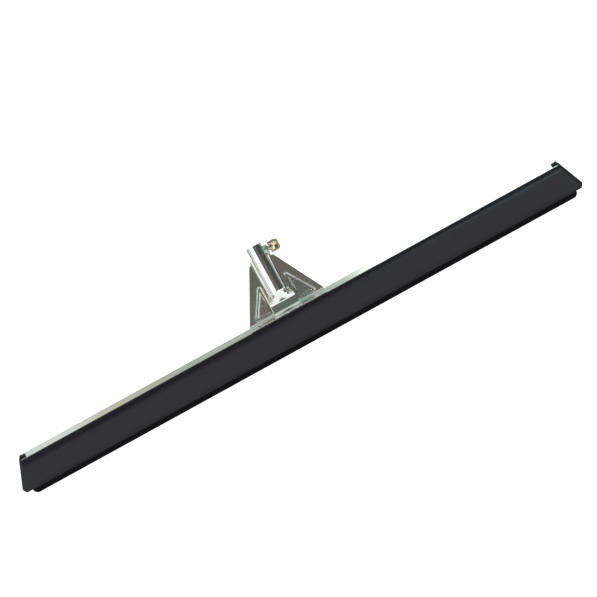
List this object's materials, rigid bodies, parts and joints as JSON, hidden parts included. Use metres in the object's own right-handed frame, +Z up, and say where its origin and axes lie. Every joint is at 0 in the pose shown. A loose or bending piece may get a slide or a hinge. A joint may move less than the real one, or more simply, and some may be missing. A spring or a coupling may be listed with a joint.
{
  "type": "floor squeegee",
  "caption": "Floor squeegee head: black profile with rubber blades under a zinc-plated rail, and a leaning bracket with a handle socket clamped by a thumb screw.",
  "frame": {"origin": "on the floor, in the middle of the front blade's wiping face", "axes": "+X along the bar towards the clamp screw's side, +Y from the front face to the rear, +Z up"},
  "size_m": [0.9256, 0.061, 0.1609],
  "materials": {
    "zinc_steel": "bright zinc plating",
    "black_plastic": "satin",
    "rubber": "matte",
    "yellow_zinc": "yellow zinc plating"
  },
  "bodies": {
    "squeegee": {"rail": "zinc_steel", "blade_holder": "black_plastic", "front_blade": "rubber", "rear_blade": "rubber", "end_cap_left": "black_plastic", "end_cap_right": "black_plastic", "bracket_plate": "zinc_steel", "socket_saddle": "zinc_steel", "socket_tube": "zinc_steel", "foot_welds": "zinc_steel", "weld_nut": "zinc_steel"},
    "screw_shank": {"clamp_screw": "zinc_steel"},
    "screw_head": {"thumb_head": "yellow_zinc"}
  },
  "joints": [
    {"name": "clamp_screw_advance", "type": "slide", "parent": "squeegee", "child": "screw_shank", "axis": [-1, 0, 0], "range_m": [-0.00125, 0.00125]},
    {"name": "thumb_head_turn", "type": "hinge", "parent": "screw_shank", "child": "screw_head", "pos_m": [0.0275, 0.0367, 0.14518], "axis": [-1, 0, 0], "range_deg": [-360, 360]}
  ],
  "couplings": [
    {"joint": "clamp_screw_advance", "follows": "thumb_head_turn", "m_per_rad": 0.00019894}
  ]
}
